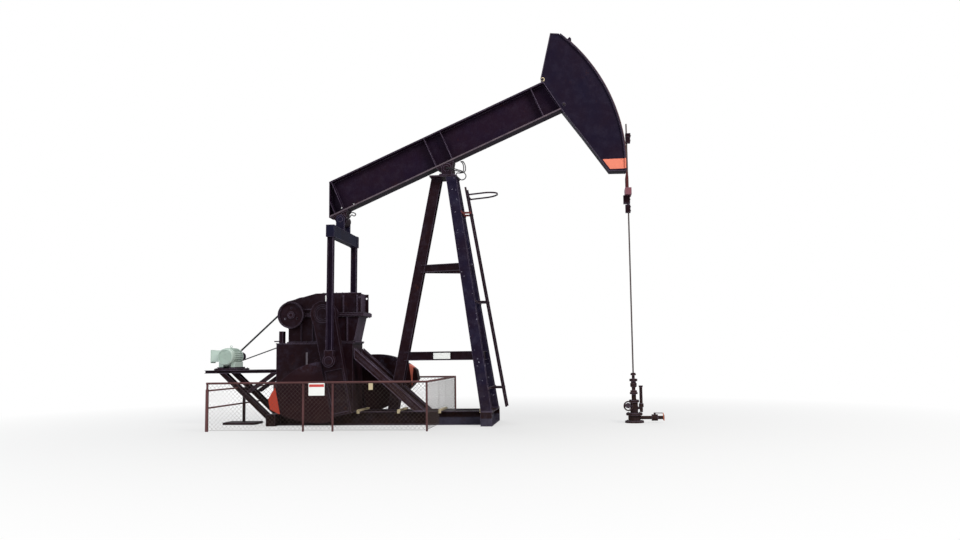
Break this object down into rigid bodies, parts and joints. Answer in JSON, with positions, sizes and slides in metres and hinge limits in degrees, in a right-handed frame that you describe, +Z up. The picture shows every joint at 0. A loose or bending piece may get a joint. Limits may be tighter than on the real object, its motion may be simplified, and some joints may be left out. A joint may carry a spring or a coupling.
{
  "type": "pumpjack",
  "caption": "Crank-balanced beam pumping unit with a walking beam, horsehead, geared crank drive, guard fence and wellhead.",
  "frame": {"origin": "on the ground straight under the saddle bearing, on the underside of a base cross member", "axes": "+X along the walking beam towards the well, +Z up, -Y the side with the brake wheel"},
  "size_m": [11.638, 4.6758, 9.9519],
  "materials": {
    "machine_paint": "dark weathered gloss",
    "weight_iron": "dark weathered, with orange-red tips",
    "motor_paint": "pale green satin",
    "fence_pipe": "rusty",
    "belt_rubber": "matte",
    "wire_rope": "greasy",
    "rod_steel": "oily polished",
    "cream_paint": "dusty cream",
    "carrier_paint": "faded red",
    "wellhead_iron": "rusty"
  },
  "bodies": {
    "base": {"base_beams": "machine_paint", "front_cross_member": "machine_paint", "rear_cross_member": "machine_paint", "base_cross_members": "machine_paint", "base_crossbars": "cream_paint", "gearbox_tower": "machine_paint", "tower_struts": "machine_paint", "gearbox_lower": "machine_paint", "gearbox_upper": "machine_paint", "crankshaft_bearings": "machine_paint", "brake_bracket": "machine_paint", "post_rear_leg": "machine_paint", "post_front_legs": "machine_paint", "post_braces": "machine_paint", "post_cap_plate": "machine_paint", "saddle_stand": "machine_paint", "ladder": "machine_paint", "ladder_brackets": "machine_paint", "ladder_hoop": "machine_paint", "motor_rails": "machine_paint", "motor_arms": "machine_paint", "motor_props": "machine_paint", "motor_leg": "machine_paint", "motor_base": "machine_paint", "motor_frame": "motor_paint", "motor_fan_cover": "motor_paint", "motor_terminal_box": "motor_paint", "v_belts": "belt_rubber", "fence_posts": "fence_pipe", "fence_rails": "fence_pipe", "fence_end_rails": "fence_pipe", "wellhead": "wellhead_iron", "wellhead_valves": "wellhead_iron", "bridle_lines": "wire_rope"},
    "beam_assembly": {"walking_beam": "machine_paint", "saddle_bearing": "machine_paint", "tail_bearing": "machine_paint", "horsehead": "machine_paint", "horsehead_lines": "wire_rope"},
    "crank_assembly": {"crankshaft": "machine_paint", "cranks": "machine_paint", "counterweights": "weight_iron"},
    "pitman_assembly": {"equalizer": "machine_paint", "pitmans": "machine_paint", "wrist_bearings": "machine_paint"},
    "rod_string": {"polished_rod": "rod_steel", "carrier_bar": "carrier_paint", "rope_sockets": "carrier_paint", "rod_clamps": "machine_paint"},
    "input_shaft": {"belt_sheave": "machine_paint", "brake_wheel": "machine_paint"},
    "motor_shaft": {"motor_pulley": "machine_paint"}
  },
  "joints": [
    {"name": "crank_turn", "type": "hinge", "parent": "base", "child": "crank_assembly", "pos_m": [-3.048, 0, 2.78], "axis": [0, -1, 0], "range_deg": [0, 166.45]},
    {"name": "beam_rock", "type": "hinge", "parent": "base", "child": "beam_assembly", "pos_m": [0, 0, 6.48], "axis": [0, 1, 0], "range_deg": [0, 45.6]},
    {"name": "pitman_swing", "type": "hinge", "parent": "beam_assembly", "child": "pitman_assembly", "pos_m": [-2.78694, 0, 5.24578], "axis": [0, 1, 0], "range_deg": [-43.56, 0]},
    {"name": "rod_slide", "type": "slide", "parent": "base", "child": "rod_string", "axis": [0, 0, -1], "range_m": [0, 3.63893], "deforming": ["bridle_lines"]},
    {"name": "input_spin", "type": "hinge", "parent": "base", "child": "input_shaft", "pos_m": [-3.998, 0, 2.78], "axis": [0, 1, 0], "continuous": true},
    {"name": "motor_spin", "type": "hinge", "parent": "base", "child": "motor_shaft", "pos_m": [-5.76, 0, 1.745], "axis": [0, 1, 0], "continuous": true}
  ],
  "couplings": [
    {"joint": "beam_rock", "follows": "crank_turn", "ratio": 0.2739},
    {"joint": "pitman_swing", "follows": "crank_turn", "ratio": -0.26162},
    {"joint": "rod_slide", "follows": "crank_turn", "m_per_rad": 1.2523},
    {"joint": "motor_spin", "follows": "input_spin", "ratio": 4.9048}
  ]
}
